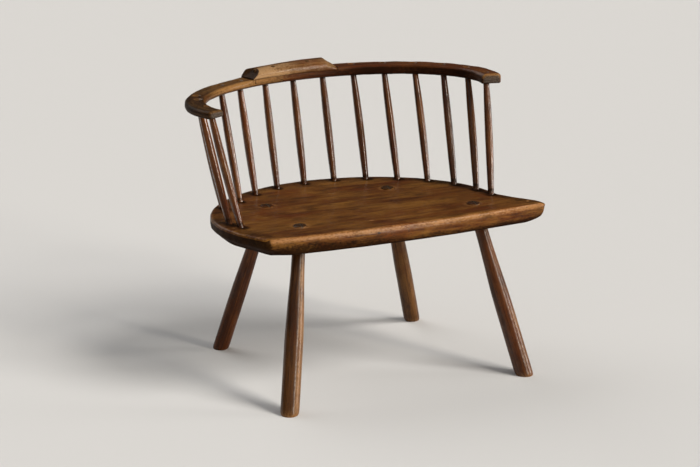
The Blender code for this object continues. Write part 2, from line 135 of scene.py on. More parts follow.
def skin(name, rings, finish):
    """A closed mesh over rings of points, fanned shut at both ends. Finish values ride on its corners."""
    rings = np.asarray(rings, float)
    count, around = rings.shape[:2]
    index = np.arange(count * around).reshape(count, around)
    onward = np.roll(index, -1, axis=1)
    quads = np.stack([index[:-1], onward[:-1], onward[1:], index[1:]], axis=-1).reshape(-1, 4).tolist()
    tips = (count * around, count * around + 1)
    fans = [(tips[0], int(b), int(a)) for a, b in zip(index[0], onward[0])]
    fans += [(tips[1], int(a), int(b)) for a, b in zip(index[-1], onward[-1])]
    points = np.vstack([rings.reshape(-1, 3), rings[0].mean(0), rings[-1].mean(0)])
    mesh = bpy.data.meshes.new(name)
    mesh.from_pydata(points.tolist(), [], quads + fans)
    shape = bmesh.new()
    shape.from_mesh(mesh)
    bmesh.ops.recalc_face_normals(shape, faces=shape.faces)
    shape.to_mesh(mesh)
    shape.free()
    corners = np.empty(len(mesh.loops), int)
    mesh.loops.foreach_get("vertex_index", corners)
    for label, values in finish.items():
        values = np.asarray(values, float)
        flat = np.concatenate([values.reshape(count * around, -1), values[[0, -1]].mean(1).reshape(2, -1)])
        vector = flat.shape[1] == 3
        data = mesh.attributes.new(label, "FLOAT_VECTOR" if vector else "FLOAT", "CORNER").data
        data.foreach_set("vector" if vector else "value", flat[corners].ravel())
    mesh.shade_smooth()
    mesh.set_sharp_from_angle(angle=radians(40))
    piece = bpy.data.objects.new(name, mesh)
    bpy.context.scene.collection.objects.link(piece)
    return piece


def bore(piece, bits):
    """Cut a piece with each bit, then clear the bits away."""
    group = bpy.data.collections.new("bits")
    bpy.context.scene.collection.children.link(group)
    for bit in bits:
        bpy.context.scene.collection.objects.unlink(bit)
        group.objects.link(bit)
    modifier = piece.modifiers.new("holes", "BOOLEAN")
    modifier.operand_type = "COLLECTION"
    modifier.collection = group
    modifier.solver = "MANIFOLD"
    graph = bpy.context.evaluated_depsgraph_get()
    cut = piece.evaluated_get(graph)
    mesh = bpy.data.meshes.new_from_object(cut, preserve_all_data_layers=True, depsgraph=graph)
    piece.modifiers.clear()
    piece.data = mesh
    piece.data.materials.clear()
    for bit in bits:
        bpy.data.objects.remove(bit)
    bpy.data.collections.remove(group)


TOP_SLICE = 0.00005
LOW_SLICE = 0.001
FOOT_SLICE = 0.0001
FLOOR_TOUCH = 0.001


def node_corners(node):
    """The corner points of a CAD node, each once."""
    return np.unique(np.round([v.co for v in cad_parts[node].data.vertices], 6), axis=0)


def centre_line(node):
    """Lower and upper middle of a round CAD node, and its radius by height along that line."""
    points = node_corners(node)
    top = points[points[:, 2] > points[:, 2].max() - TOP_SLICE].mean(0)
    rough = (top - points.mean(0)) / np.linalg.norm(top - points.mean(0))
    along = points @ rough
    low = points[along < along.min() + LOW_SLICE].mean(0)
    if points[:, 2].min() < FLOOR_TOUCH:
        low = points[points[:, 2] < FOOT_SLICE].mean(0)
    axis = (top - low) / np.linalg.norm(top - low)
    height = (points - low) @ axis
    radius = np.linalg.norm(points - low - np.outer(height, axis), axis=1)
    order = np.argsort(height)
    outer = order[radius[order] > 0.6 * radius.max()]
    return low, top, height[outer], radius[outer]


def square_to(axis):
    """Two directions square to an axis and to each other."""
    side = np.cross(axis, (0.0, 1.0, 0.0))
    side /= np.linalg.norm(side)
    return side, np.cross(axis, side)


GAP = 0.0003
BIT_AROUND = 28
RIM_FLARE = 0.7
RIM_RUB_AND_GLINT = 0.7
RIM_STEP = 0.0002


def hole_bit(node, low_z, high_z, rim_z=None):
    """A round bit along a CAD node's line between two heights, as wide as its tenon and the gap.

    Over the height rim_z the bit flares, which leaves a worn rim painted pale as a glint. The walls it cuts
    are painted dark as shade in the hole.
    """
    low, top, _, radius = centre_line(node)
    axis = (top - low) / np.linalg.norm(top - low)
    side, back = square_to(axis)
    turn = np.linspace(0, 2 * pi, BIT_AROUND, endpoint=False)
    ring = (np.outer(np.cos(turn), side) + np.outer(np.sin(turn), back)) * (radius.min() + GAP)
    stops = [(low_z, 1), (high_z, 1)]
    if rim_z:
        flared = [(z, 1 + RIM_FLARE * (z - rim_z) / radius.min()) for z in (rim_z + RIM_STEP, high_z)]
        stops = [(low_z, 1), (rim_z, 1)] + flared
    rings = np.array([low + axis * (z - low[2]) / axis[2] + ring * wide for z, wide in stops])
    rubbed_and_highlit = np.zeros(rings.shape[:2])
    rubbed_and_highlit[2:] = RIM_RUB_AND_GLINT
    return skin(node + "_bit", rings, {"grain": rings, "grime_and_shade": 1 - rubbed_and_highlit, "wear_and_highlight": rubbed_and_highlit * 0.6})


def seat_edge():
    """The seat's outline, anticlockwise from its right side, round the back and along the front."""
    turn = np.radians(np.linspace(90, -90, 120, endpoint=False))
    x = SEAT_BOW[0] * np.sin(turn)
    bow = np.stack([x + SEAT_BOW_SHIFT, SEAT_BOW[1] * np.cos(turn) - SEAT_BOW_SKEW * x], axis=1)
    bow_end = np.array((SEAT_BOW_SHIFT - SEAT_BOW[0], SEAT_BOW_SKEW * SEAT_BOW[0]))

    def towards(corner, pull, reach):
        return corner + (pull - corner) / np.linalg.norm(pull - corner) * reach

    left = [towards(SEAT_LEFT_CORNER, p, LEFT_CORNER_ROUND) for p in (SEAT_LEFT_PULL, SEAT_FRONT_PULL)]
    right = [towards(SEAT_RIGHT_CORNER, p, HORN_ROUND) for p in (SEAT_FRONT_PULL, SEAT_RIGHT_PULL)]
    return even_outline(np.vstack([
        bow,
        bend(bow_end, SEAT_LEFT_PULL, left[0]),
        bend(left[0], SEAT_LEFT_CORNER, left[1], 12),
        bend(left[1], SEAT_FRONT_PULL, right[0], 80),
        bend(right[0], SEAT_RIGHT_CORNER, right[1], 16),
        bend(right[1], SEAT_RIGHT_PULL, bow[0]),
    ]), SEAT_AROUND)


# Tool marks and hollows: their depth, their size and a shift that sets each pattern apart.
HEWN_SIDE = ((0.0011, 0.032, 4.1), (0.0005, 0.011, 2.1))
RUBBED_TOP = ((0.0005, 0.09, 0), (0.00025, 0.028, 0))
HEWN_UNDERSIDE_DEPTH = 0.0007
SITTING_HOLLOW = 0.0012
SITTING_MIDDLE = -0.05
SITTING_REACH = (0.17, 0.11)

edge = seat_edge()
edge_spots = np.pad(edge, ((0, 0), (0, 1)))
tangent = np.roll(edge, -1, axis=0) - np.roll(edge, 1, axis=0)
outward = np.stack([tangent[:, 1], -tangent[:, 0]], axis=1) / np.linalg.norm(tangent, axis=1)[:, None]
front = ease(-outward[:, 1], *FRONT_FACING)
horn = ease(edge[:, 0], *HORN_SPAN) * (edge[:, 1] < 0)
radial = edge / np.linalg.norm(edge, axis=1)[:, None]
straight_in = (front * (1 - horn))[:, None]
inward = -(outward * straight_in + radial * (1 - straight_in))
inward /= np.linalg.norm(inward, axis=1)[:, None]
softness = 1 + 0.20 * lumps(edge_spots, 0.055)
hewn = tool_marks(edge_spots, HEWN_SIDE) * (1 - 0.8 * front)


def seat_level(inset, height, share=1.0):
    """The outline drawn in by an inset, shrunk towards the middle, at a height over the underside."""
    plan = (edge + outward * hewn[:, None] + inward * np.reshape(inset, (-1, 1))) * share
    drawn = np.clip((plan[:, 0] - HORN_START) / HORN_LENGTH, 0, 1) * (plan[:, 1] < 0)
    nose = np.clip((plan[:, 0] - NOSE_START) / NOSE_LENGTH, 0, 1) * (plan[:, 1] < 0)
    rounding = 1 - np.sqrt(1 - 0.96 * nose ** 2)
    swell = 1 + FRONT_SWELL * ease(-plan[:, 1], *FRONT_SWELL_SPAN)
    squeeze = (1 - HORN_RISE / SEAT_THICKNESS * drawn ** 1.8) * (1 - rounding) * swell
    z = SEAT_TOP - NOSE_DROP * rounding - (SEAT_THICKNESS - height) * squeeze
    return np.column_stack([plan + SEAT_MIDDLE, z])


side_line = even_line(SEAT_SIDE, SEAT_SECTION_STEPS)
front_line = even_line(SEAT_FRONT, SEAT_SECTION_STEPS)
flat_under = np.zeros(SEAT_AROUND)
flat_top = np.full(SEAT_AROUND, SEAT_THICKNESS)
under_shares = np.linspace(0.03, 0.98, UNDERSIDE_RINGS)
levels = [seat_level(SEAT_SIDE[0][0], flat_under, share) for share in under_shares]
left_chop = 1 - ease(edge[:, 0], *LEFT_CORNER_CHOP)
for step, (side_at, front_at) in enumerate(zip(side_line, front_line)):
    squared = front * (1 - left_chop * (1 - ease(step, 8, 16)))
    inset = (side_at[0] + (front_at[0] - side_at[0]) * squared) * softness
    levels.append(seat_level(inset, side_at[1] + (front_at[1] - side_at[1]) * squared))
rim_start = len(levels)
levels += [seat_level(inset, flat_top, share) for share in np.linspace(0.99, 0.02, TOP_RINGS)]
levels = np.array(levels)
level_number = np.arange(len(levels))[:, None]
past_rim = level_number - rim_start
crown = np.broadcast_to(ease(past_rim, -4, 0), levels.shape[:2])
under = np.broadcast_to(level_number < UNDERSIDE_RINGS, levels.shape[:2])
sat_x = levels[..., 0] / SITTING_REACH[0]
sat_y = (levels[..., 1] - SITTING_MIDDLE) / SITTING_REACH[1]
sat_on = np.exp(-sat_x ** 2 - sat_y ** 2)
levels[..., 2] += crown * (tool_marks(levels, RUBBED_TOP) - SITTING_HOLLOW * sat_on)
levels[..., 2] += under * HEWN_UNDERSIDE_DEPTH * (lumps(levels * (1, 1.6, 1), 0.045, 7.7) + 0.3)

LEGS = ("leg_front_left", "leg_front_right", "leg_rear_left", "leg_rear_right")
STICKS = [f"stick_{number:02d}" for number in range(1, 15)]
RIDGE_BELOW_RIM = 7.2
RIDGE_WIDTH = 3.6
TENON_RUB = 0.019
TENON_RUB_WIDTH = 0.006
SHADE_LINE = 0.023
SHADE_LINE_RISE = 0.016
SHADE_FADE = 0.030
SOCKET_DIRT_AND_SHADE = (0.005, 0.017)


def distance_to(spots):
    """Distance in plan from each point of the seat to the nearest of some spots."""
    return np.min(np.linalg.norm(levels[:, :, None, :2] - spots[None, None, :, :2], axis=-1), axis=-1)


# Rubbed and painted pale as a highlight: the ridge of the front edge. Rubbed: the hollow of the top and a
# ring round each proud tenon.
from_socket = distance_to(np.array([centre_line(stick)[0] for stick in STICKS]))
from_tenon = distance_to(np.array([centre_line(leg)[1] for leg in LEGS]))
ridge = np.exp(-((past_rim + RIDGE_BELOW_RIM) / RIDGE_WIDTH) ** 2)
rubbed_and_highlit_ridge = ridge * (0.14 + 0.66 * front + 0.3 * horn) * (1 + 0.5 * lumps(levels, 0.03, 3.3))
rubbed_ring = np.exp(-((from_tenon - TENON_RUB) / TENON_RUB_WIDTH) ** 2)
wear_and_highlight = rubbed_and_highlit_ridge + crown * (0.25 * sat_on + 0.45 * rubbed_ring)

# Darkened: the lower front, more so at the left, with painted shade; the foot of each stick and the rear rim,
# with dirt and painted shade; and the left side, with painted shade.
# The lower front is painted dark as shade, up to a line that rises towards the left.
shade_line = SHADE_LINE + SHADE_LINE_RISE * ease(-levels[..., 0], -0.05, 0.20)
shaded_lower_front = front * (1 - ease(levels[..., 2] - SEAT_BOTTOM, shade_line - SHADE_FADE, shade_line))
# Round the foot of each stick and along the rear rim the seat is darkened, as dirt and as painted shade of
# the sticks.
stick_feet_dirt_and_shade = crown * (1 - ease(from_socket, *SOCKET_DIRT_AND_SHADE))
rear_rim_dirt_and_shade = ease(past_rim, -3, 0) * (1 - ease(past_rim, 2, 7))
raw = np.broadcast_to(1 - ease(level_number, UNDERSIDE_RINGS, UNDERSIDE_RINGS + 14), levels.shape[:2])
# The left side, which faces away from the lamps, is painted dark as shade.
shaded_left_side = ease(-outward[:, 0], 0.2, 0.7) * (past_rim < -5)
grime_and_shade = (shaded_lower_front * 0.74 + stick_feet_dirt_and_shade * 0.85 + rear_rim_dirt_and_shade * (1 - front) * 0.55 + raw * 0.30
         + shaded_left_side * 0.95)
seat = skin("plank_seat", levels, {
    "grain": levels,
    "wear_and_highlight": np.clip(wear_and_highlight, 0, 1),
    "grime_and_shade": np.clip(grime_and_shade, 0, 1),
    "raw": raw,
})

BIT_BELOW = 0.01
BIT_ABOVE = 0.02
SOCKET_FLOOR = 0.001
bits = [hole_bit(leg, SEAT_BOTTOM - BIT_BELOW, SEAT_TOP + BIT_ABOVE) for leg in LEGS]
bits += [hole_bit(stick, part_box(stick)[0].z + SOCKET_FLOOR, SEAT_TOP + BIT_ABOVE) for stick in STICKS]
bore(seat, bits)


class Wire:
    """A socket in a material. Sums on it add Math nodes, and node() adds any other node."""

    def __init__(self, tree, socket=None):
        self.tree = tree
        self.socket = socket

    def node(self, kind, settings=(), inputs=(), output=0):
        made = self.tree.nodes.new("ShaderNode" + kind)
        for name, value in dict(settings).items():
            setattr(made, name, value)
        for name, value in dict(inputs).items():
            if isinstance(value, Wire):
                self.tree.links.new(value.socket, made.inputs[name])
            else:
                made.inputs[name].default_value = value
        return Wire(self.tree, made.outputs[output])

    def math(self, operation, *values):
        return self.node("Math", {"operation": operation}, dict(enumerate(values)))

    def __add__(self, other):
        return self.math("ADD", self, other)

    def __sub__(self, other):
        return self.math("SUBTRACT", self, other)

    def __rsub__(self, other):
        return self.math("SUBTRACT", other, self)

    def __mul__(self, other):
        return self.math("MULTIPLY", self, other)

    def __abs__(self):
        return self.math("ABSOLUTE", self)

    __radd__ = __add__
    __rmul__ = __mul__

    def band(self, low, high):
        """0 below low, 1 above high, and smooth between."""
        limits = {"Value": self, "From Min": low, "From Max": high}
        return self.node("MapRange", {"interpolation_type": "SMOOTHSTEP"}, limits)

    def blend(self, first, second):
        """The first colour where this is 0 and the second where it is 1."""
        return self.node("Mix", {"data_type": "RGBA"}, {0: self, 6: first, 7: second}, 2)


DARK_END = ((0.007, 0.0034, 0.0018), (0.030, 0.0150, 0.0073))
RUDDY = (1.25, 0.90, 0.75)
WARM_REFLECTION = (1.0, 0.74, 0.46, 1.0)
WEAK_REFLECTION = 0.06
GRAIN_DEPTH = 0.0008


def aged_wood(name, pale, warm, dark, worn_and_highlit, dullness, end_grain=DARK_END, marks=(), wax=0.30):
    """Old waxed wood: streaked grain, blotched patina, rubbed edges and painted highlights, dirt in the
    corners and painted shade, and bare end grain.

    Dullness is the roughness of the clean wood under its wax. Marks are small scars: their middle,
    the half length of each side, and how dark or, below 0, how pale they are.
    """
    material = bpy.data.materials.new(name)
    material.use_nodes = True
    tree = material.node_tree
    shader = tree.nodes["Principled BSDF"]
    start = Wire(tree)
    grain = start.node("Attribute", {"attribute_name": "grain"}, output="Vector")

    def finish(label):
        return start.node("Attribute", {"attribute_name": label}, output="Fac")

    def stretched(along, across):
        return start.node("VectorMath", {"operation": "MULTIPLY"}, {0: grain, 1: (along, across, across)})

    def cloud(along, across, detail=3.0, roughness=0.55, distortion=0.0):
        sizes = {"Vector": stretched(along, across), "Scale": 1.0, "Detail": detail}
        return start.node("TexNoise", (), sizes | {"Roughness": roughness, "Distortion": distortion})

    def tint(colour, share=1.0):
        return (*[channel * share for channel in colour], 1)

    edge_wear_and_highlight = finish("wear_and_highlight")
    dirt_and_shade = finish("grime_and_shade")
    bare = finish("raw")
    end = finish("end")
    fibre = cloud(16, 540, 4, 0.6)
    streak = cloud(5, 110, 3, 0.6, 0.4)
    line = cloud(8, 270, 3, 0.62, 0.3)
    growth = cloud(1.5, 17, 2, 0.5, 0.8) * 46
    figure = growth.math("SINE", growth)
    patch = cloud(7, 20, 4, 0.62)
    blot = cloud(15, 60, 5, 0.68)
    speck = cloud(170, 330, 2, 0.5)
    check = abs(cloud(9, 130, 2, 0.5, 0.5) - 0.5)
    pore = cloud(120, 1900, 2, 0.5)

    # Grain and patina of the whole wood
    tone = patch.band(0.36, 0.64) * 0.66 + (streak - 0.5) * 1.5 + (line - 0.5) * 2.3 + figure * 0.12 + 0.17
    colour = tone.blend(tint(warm), tint(pale))
    ruddy = tuple(channel * share for channel, share in zip(warm, RUDDY))
    colour = (cloud(7, 12, 3, 0.6, 0.6).band(0.48, 0.70) * 0.65).blend(colour, tint(ruddy))
    colour = ((1 - fibre).band(0.45, 0.75) * 0.50).blend(colour, tint(dark))
    colour = (blot.band(0.46, 0.72) * 0.66).blend(colour, tint(dark))
    crack = (1 - check.band(0.003, 0.012)) * cloud(6, 14, 2).band(0.60, 0.68)
    colour = (crack * 0.75).blend(colour, tint(dark, 0.4))

    # Rubbed places with painted highlights, specks, unfinished undersides, dirt with painted shade, scars and
    # end grain over it
    # Places that are rubbed, and places painted pale as a highlight, take the worn colour.
    rubbed_and_highlit = edge_wear_and_highlight * (0.20 + streak * 0.6 + blot * 0.5 + speck.band(0.36, 0.64) * 0.55)
    rubbed_and_highlit = rubbed_and_highlit.band(0.22, 0.95)
    colour = (rubbed_and_highlit * 0.85).blend(colour, tint(worn_and_highlit))
    colour = (speck.band(0.60, 0.70) * 0.50).blend(colour, tint(dark, 0.7))
    colour = ((1 - line).band(0.54, 0.72) * 0.30).blend(colour, tint(dark))
    colour = (bare * 0.55).blend(colour, tint(dark, 1.25))
    # Dirt and painted shade darken the wood through the same mask.
    soiled_and_shaded = (dirt_and_shade * (blot * 0.9 + speck)).band(0.15, 0.82)
    colour = (soiled_and_shaded * 0.88).blend(colour, tint(dark, 0.35))
    for middle, reach, depth in marks:
        offset = start.node("VectorMath", {"operation": "SUBTRACT"}, {0: grain, 1: middle})
        size = tuple(1 / length for length in reach)
        scaled = start.node("VectorMath", {"operation": "MULTIPLY"}, {0: offset, 1: size})
        distance = start.node("VectorMath", {"operation": "LENGTH"}, {0: scaled}, "Value")
        scar = 1 - (distance + (blot - 0.5) * 1.6).band(0.45, 1.0)
        colour = (scar * abs(depth)).blend(colour, tint(dark, 0.35) if depth > 0 else tint(worn_and_highlit, 1.4))
    ring = cloud(0, 300, 3, 0.6).band(0.36, 0.64)
    end_colour = ring.blend(tint(end_grain[0]), tint(end_grain[1]))
    colour = (end * 0.9).blend(colour, end_colour)
    tree.links.new(colour.socket, shader.inputs["Base Color"])

    # Gloss, relief and wax
    dulled = dullness + blot * 0.22 + speck * 0.08 - rubbed_and_highlit * 0.06 + soiled_and_shaded * 0.20 + bare * 0.25 + end * 0.25
    tree.links.new((dulled + (fibre - 0.5) * 0.12).socket, shader.inputs["Roughness"])
    relief = fibre * 0.5 + line * 0.6 + streak * 0.35 + blot * 0.5 + speck * 0.8
    relief = relief - pore.band(0.60, 0.72) * 0.35 - crack * 1.2 - end * ring * 0.5
    bump = start.node("Bump", (), {"Strength": 0.45, "Distance": GRAIN_DEPTH, "Height": relief}, "Normal")
    tree.links.new(bump.socket, shader.inputs["Normal"])
    polish = wax * (0.60 + speck.band(0.40, 0.62) * 0.8) * (1 - rubbed_and_highlit * 0.4) * (1 - soiled_and_shaded * 0.92)
    polish = polish * (1 - bare * 0.8) * (1 - end * 0.8)
    tree.links.new(polish.socket, shader.inputs["Coat Weight"])
    shader.inputs["Specular IOR Level"].default_value = WEAK_REFLECTION
    shader.inputs["Specular Tint"].default_value = WARM_REFLECTION
    shader.inputs["Coat Roughness"].default_value = 0.08 + 0.8 * dullness
    return material


SEAT_SCARS = [
    ((-0.108, -0.004, SEAT_TOP), (0.019, 0.0045, 0.010), 0.80),
    ((-0.027, -0.041, SEAT_TOP), (0.021, 0.0045, 0.010), 0.75),
    ((0.060, 0.110, SEAT_TOP), (0.018, 0.0050, 0.010), 0.55),
    ((-0.044, -0.199, 0.3487), (0.0055, 0.0120, 0.0045), 0.80),
    ((-0.105, -0.199, 0.3367), (0.0050, 0.0120, 0.0040), 0.75),
    ((-0.279, -0.153, SEAT_TOP), (0.0110, 0.0060, 0.010), 0.60),
    ((-0.033, -0.140, SEAT_TOP), (0.0090, 0.0020, 0.010), -0.60),
    ((0.342, -0.154, SEAT_TOP), (0.0045, 0.0035, 0.010), -0.80),
]
# The seat's worn colour is a pale tan that also paints the highlight on the front ridge.
SEAT_WOOD = {
    "pale": (0.210, 0.089, 0.0165),
    "warm": (0.092, 0.0260, 0.0046),
    "dark": (0.020, 0.0060, 0.0020),
    "worn_and_highlit": (0.385, 0.180, 0.064),
    "dullness": 0.22,
    "wax": 0.24,
}
seat.data.materials.append(aged_wood("polished_seat_plank", **SEAT_WOOD, marks=SEAT_SCARS))
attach(seat, "root")
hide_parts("seat")

# Legs
# Four shaved round legs, thickest at the foot, of the same dark wood as the sticks.
# Each tenon comes up through the seat, split for a wedge and pared off a little proud.
# The feet are sawn level.

LEG_AROUND = 40
LEG_FLATS = (10, 11, 9, 10)
LEG_WANDER = 0.0012
LEG_SHAVE = 0.030
LEG_AT_SEAT = 0.90
FOOT_ROUNDING = (0.90, 0.965, 0.99)
TENON_ROUNDING = (0.985, 0.95)
TENON_RADIUS = 0.014
TENON_DOME = 0.0024
PROFILE_STEPS = 120
CAP_RINGS = (2, 4)
RUBBED_AND_LIT_WAY = (0.57, -0.82, 0.0)
FOOT_WEAR = {"leg_front_left": 0.9, "leg_front_right": 0.6, "leg_rear_left": 0.35, "leg_rear_right": 0.5}
LEG_WOOD = {"dark": (0.020, 0.0072, 0.0024), "worn_and_highlit": (0.250, 0.120, 0.041), "dullness": 0.24}
LEG_TONES = {
    "leg_front_left": {"pale": (0.112, 0.043, 0.0106), "warm": (0.050, 0.0165, 0.0040), "wax": 0.65},
    "leg_front_right": {"pale": (0.120, 0.037, 0.0092), "warm": (0.056, 0.0150, 0.0038), "wax": 0.65},
    "leg_rear_left": {"pale": (0.125, 0.036, 0.0065), "warm": (0.056, 0.0130, 0.0024), "wax": 0.30},
    "leg_rear_right": {"pale": (0.145, 0.060, 0.0135), "warm": (0.066, 0.0230, 0.0050), "wax": 0.30},
}


def shaved_rings(node, heights, around, flats, phase, wander, shave):
    """Rings of a hand-shaved round piece along a CAD node's line, level at its top and where it stands.

    Heights run from 0 at the lower end to 1 at the top. Returns the rings and their grain places.
    """
    low, top, at, radius = centre_line(node)
    length = np.linalg.norm(top - low)
    axis = (top - low) / length
    side, back = square_to(axis)
    turn = np.linspace(0, 2 * pi, around, endpoint=False)
    spoke = np.outer(np.cos(turn), side) + np.outer(np.sin(turn), back)
    steps = np.linspace(0, length, PROFILE_STEPS)
    smooth = np.interp(steps, at, radius)
    for _ in range(6):
        smooth[1:-1] = (smooth[:-2] + 2 * smooth[1:-1] + smooth[2:]) / 4
    stands = low[2] < FLOOR_TOUCH
    rings = []
    grain = []
    for share in heights:
        bow = sin(pi * share)
        radius_here = np.interp(share * length, steps, smooth)
        twist = phase + 0.35 * sin(3.1 * share + phase)
        facet = np.mod(turn + twist, 2 * pi / flats) - pi / flats
        flat_radius = cos(pi / flats * 0.55) / np.cos(facet)
        uneven = lumps(spoke * 0.02 + axis * share * length, 0.05, phase * 3.7)
        profile = radius_here * (1 + bow * shave * ((flat_radius - 1) * 6 + 0.5 * uneven))
        level = -(spoke[:, 2] * profile) / axis[2]
        lift = level if stands else level * ease(share, 0.5, 1.0)
        drift = (side * sin(phase * 5) + back * cos(phase * 7)) * wander * bow
        local = spoke * profile[:, None]
        rings.append(low + drift + axis * share * length + local + np.outer(lift, axis))
        grain.append(np.column_stack([share * length + lift + phase, local @ side + phase, local @ back]))
    return np.array(rings), np.array(grain)


def rubbed_ends(rings, low=(), high=()):
    """Rings drawn in towards their middles by shares at the lower and upper end."""
    rub = np.ones(len(rings))
    rub[:len(low)] = low
    rub[len(rub) - len(high):] = high
    middle = rings.mean(1, keepdims=True)
    return middle + (rings - middle) * rub[:, None, None]


def capped(rings, grain, bottom_share, top_share, dome=0.0):
    """Adds inner rings that close both ends, with a dome at the top, and marks them as end grain."""
    def inner(ring, share):
        return ring.mean(0) + (ring - ring.mean(0)) * share

    outwards = (0.4, bottom_share)
    inwards = np.linspace(top_share, 0.25, CAP_RINGS[1])
    crowns = [inner(rings[-1], share) + (0, 0, dome * (1 - share ** 2)) for share in inwards]
    rings = np.concatenate([[inner(rings[0], share) for share in outwards], rings, crowns])
    grain = np.concatenate([[inner(grain[0], share) for share in outwards], grain,
                            [inner(grain[-1], share) for share in inwards]])
    end = np.zeros(rings.shape[:2])
    end[:CAP_RINGS[0]] = 1
    end[-CAP_RINGS[1]:] = 1
    return rings, grain, end


def over_rings(values, around):
    """One value for each ring of a capped piece, spread round the ring, from values without the caps."""
    return np.tile(np.pad(values, CAP_RINGS, mode="edge")[:, None], (1, around))


def wedge_rings(node, grow, around=16):
    """Rings of a wedge from its tip to its top, from the corners of its CAD node, grown by a gap."""
    points = node_corners(node)
    points = points[np.argsort(points[:, 2])]
    ends = []
    for corners in (points[:4], points[4:]):
        middle = corners.mean(0)
        angle = np.arctan2(corners[:, 1] - middle[1], corners[:, 0] - middle[0])
        ends.append(corners[np.argsort(angle)])
    turned = np.roll(ends[1], 1, axis=0)
    if np.linalg.norm(ends[0][0] - ends[1][0]) > np.linalg.norm(ends[0][0] - turned[0]):
        ends[1] = turned
    t = np.linspace(0, 1, around // 4, endpoint=False)[:, None]
    rings = []
    for share in np.linspace(0, 1, 6):
        corners = ends[0] + (ends[1] - ends[0]) * share
        outline = np.concatenate([a + (b - a) * t for a, b in zip(corners, np.roll(corners, -1, axis=0))])
        away = outline - corners.mean(0)
        rings.append(outline + away / np.linalg.norm(away, axis=1)[:, None] * grow)
    return np.array(rings)


leg_heights = np.concatenate([[0, 0.008, 0.02, 0.04], np.linspace(0.07, 0.93, 44),
                              [0.95, 0.97, 0.985, 0.996, 1]])
for number, leg in enumerate(LEGS):
    rings, grain = shaved_rings(leg, leg_heights, LEG_AROUND, LEG_FLATS[number], 0.7 + number,
                                LEG_WANDER, LEG_SHAVE)
    spoke = rings - rings.mean(1, keepdims=True)
    spoke /= np.linalg.norm(spoke, axis=-1, keepdims=True)
    # A strip down the side towards the lamps, rubbed by feet and painted pale as a highlight; FOOT_WEAR sets
    # how much.
    kicked_and_highlit = ease(spoke @ RUBBED_AND_LIT_WAY, 0.55, 1.0) * (1 + 0.7 * lumps(rings, 0.035, number))
    kicked_and_highlit = kicked_and_highlit * FOOT_WEAR[leg] * 0.75 * (leg_heights < LEG_AT_SEAT)[:, None]
    rings = rubbed_ends(rings, FOOT_ROUNDING, TENON_ROUNDING)
    rings[0, :, 2] = 0
    rubbed_and_highlit = np.exp(-leg_heights / 0.03) * FOOT_WEAR[leg] + 0.22 * np.exp(-((leg_heights - 0.35) / 0.3) ** 2)
    # The rim of the proud tenon is painted pale, as wear and as a highlight.
    rubbed_and_highlit += np.exp(-((leg_heights - 0.995) / 0.004) ** 2) * 0.8
    dirt_and_shade = np.exp(-((leg_heights - LEG_AT_SEAT) / 0.03) ** 2) * 0.8 + ease(leg_heights, 0.88, 0.93) * 0.6
    dirt_and_shade *= leg_heights < 0.995
    rings, grain, end = capped(rings, grain, 0.9, 0.9, TENON_DOME)
    piece = skin("shaved_" + leg, rings, {
        "grain": grain,
        "end": end * 0.8,
        "wear_and_highlight": np.maximum(over_rings(rubbed_and_highlit, LEG_AROUND), np.pad(kicked_and_highlit, (CAP_RINGS, (0, 0)))),
        "grime_and_shade": over_rings(dirt_and_shade, LEG_AROUND),
    })
    kerf = wedge_rings(leg.replace("leg", "wedge"), GAP)
    kerf[-1] += (kerf[-1].mean(0) - kerf[0].mean(0)) * 0.2
    bore(piece, [skin("kerf", kerf, {"grain": kerf, "grime_and_shade": np.ones(kerf.shape[:2])})])
    piece.data.materials.append(aged_wood(leg + "_wood", **LEG_WOOD, **LEG_TONES[leg]))
    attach(piece, "root")
    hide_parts(leg)

# Leg wedges
# A thin split of hard wood driven into the end of each leg, which spreads the tenon in the seat.
# They are pared off level with the tenons, so only their crushed ends show.

WEDGE_EASE = 0.0001
WEDGE_SUNK = 0.0004
WEDGE_CRUSH = 0.0004
WEDGE_WOOD = {
    "pale": (0.120, 0.070, 0.036),
    "warm": (0.065, 0.034, 0.017),
    "dark": (0.022, 0.011, 0.007),
    "worn_and_highlit": (0.260, 0.165, 0.095),
    "dullness": 0.34,
}
wedge_wood = aged_wood("wedge_wood", **WEDGE_WOOD)
for leg in LEGS:
    name = leg.replace("leg", "wedge")
    rings = wedge_rings(name, -WEDGE_EASE)
    from_middle = np.linalg.norm(rings[-1] - rings[-1].mean(0), axis=1)
    crush = WEDGE_CRUSH * lumps(rings[-1], 0.004)
    rings[-1, :, 2] += crush - WEDGE_SUNK + TENON_DOME * (1 - (from_middle / TENON_RADIUS) ** 2)
    end = np.zeros(rings.shape[:2])
    end[-1] = 0.7
    piece = skin("driven_" + name, rings, {
        "grain": rings[..., [2, 0, 1]],
        "end": end,
        "wear_and_highlight": end,
        "grime_and_shade": (0.7 - end) * 0.6,
    })
    piece.data.materials.append(wedge_wood)
    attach(piece, "root")
    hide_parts(name)

# Sticks
# Fourteen slender sticks, each shaved by eye, fuller in the middle and thinner where they enter seat and arm.
# Their feet sit in blind holes in the seat. Their upper ends go through the arm and are sunk a little in it.

STICK_AROUND = 24
STICK_WANDER = 0.0016
STICK_SHAVE = 0.035
STICK_AT_SEAT = 0.105
STICK_AT_ARM = (0.915, 0.930)
STICK_PALE = (0.150, 0.051, 0.0120)
STICK_WARM = (0.066, 0.0175, 0.0038)
STICK_WOOD = {"dark": (0.024, 0.0080, 0.0030), "worn_and_highlit": (0.310, 0.148, 0.048), "dullness": 0.06, "wax": 1.0}
STICK_TINTS = (0.95, 1.1, 0.9, 1.05, 1.2, 1.0, 0.92, 0.85, 0.8, 0.95, 1.1, 1.05, 0.9, 0.95)

